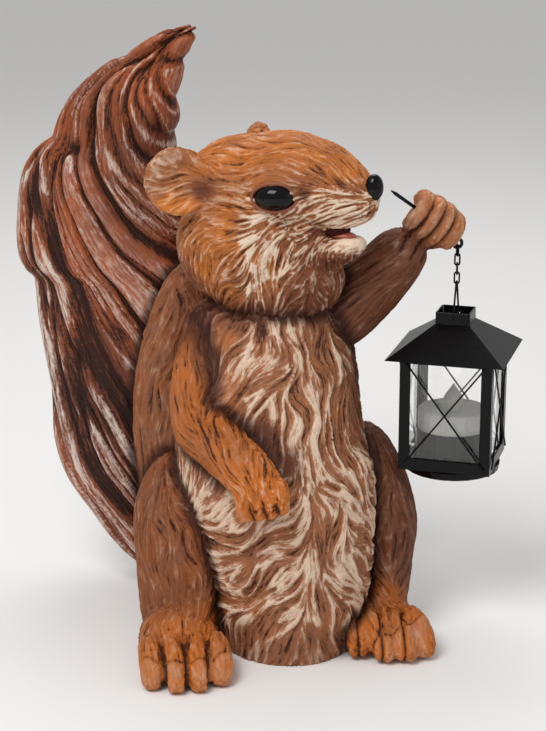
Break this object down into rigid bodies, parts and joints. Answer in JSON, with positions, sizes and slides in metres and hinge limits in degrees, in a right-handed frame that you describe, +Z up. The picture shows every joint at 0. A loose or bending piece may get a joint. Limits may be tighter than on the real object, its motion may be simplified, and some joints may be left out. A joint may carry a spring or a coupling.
{
  "type": "squirrel statue",
  "caption": "Sitting squirrel garden statue with a bushy upright tail, holding up a small black metal lantern with glass panes and a tealight on a chain.",
  "frame": {"origin": "on the flat underside of the squirrel, under its body", "axes": "-Y the way the belly faces, +X the squirrel's left, where the lantern hangs, +Z up"},
  "size_m": [0.2685, 0.2526, 0.3371],
  "materials": {
    "cast_figure": "hand-painted cast resin, russet with cream dry-brushed fur and matt sealer",
    "black_steel": "satin to gloss black paint on thin steel",
    "clear_glass": "clear flat glass",
    "white_plastic": "satin white moulded plastic",
    "flame_plastic": "frosted white plastic"
  },
  "bodies": {
    "root": {"squirrel": "cast_figure", "lantern_hook": "black_steel", "chain_link_1": "black_steel", "chain_link_2": "black_steel", "chain_link_3": "black_steel", "chain_link_4": "black_steel", "lantern_bail": "black_steel", "lantern_roof": "black_steel", "roof_collar": "black_steel", "lantern_frame": "black_steel", "glass_front": "clear_glass", "glass_right": "clear_glass", "glass_back": "clear_glass", "glass_left": "clear_glass", "cross_wires_front": "black_steel", "cross_wires_right": "black_steel", "cross_wires_back": "black_steel", "cross_wires_left": "black_steel", "lantern_base": "black_steel", "tealight_body": "white_plastic", "tealight_flame": "flame_plastic"}
  },
  "joints": []
}
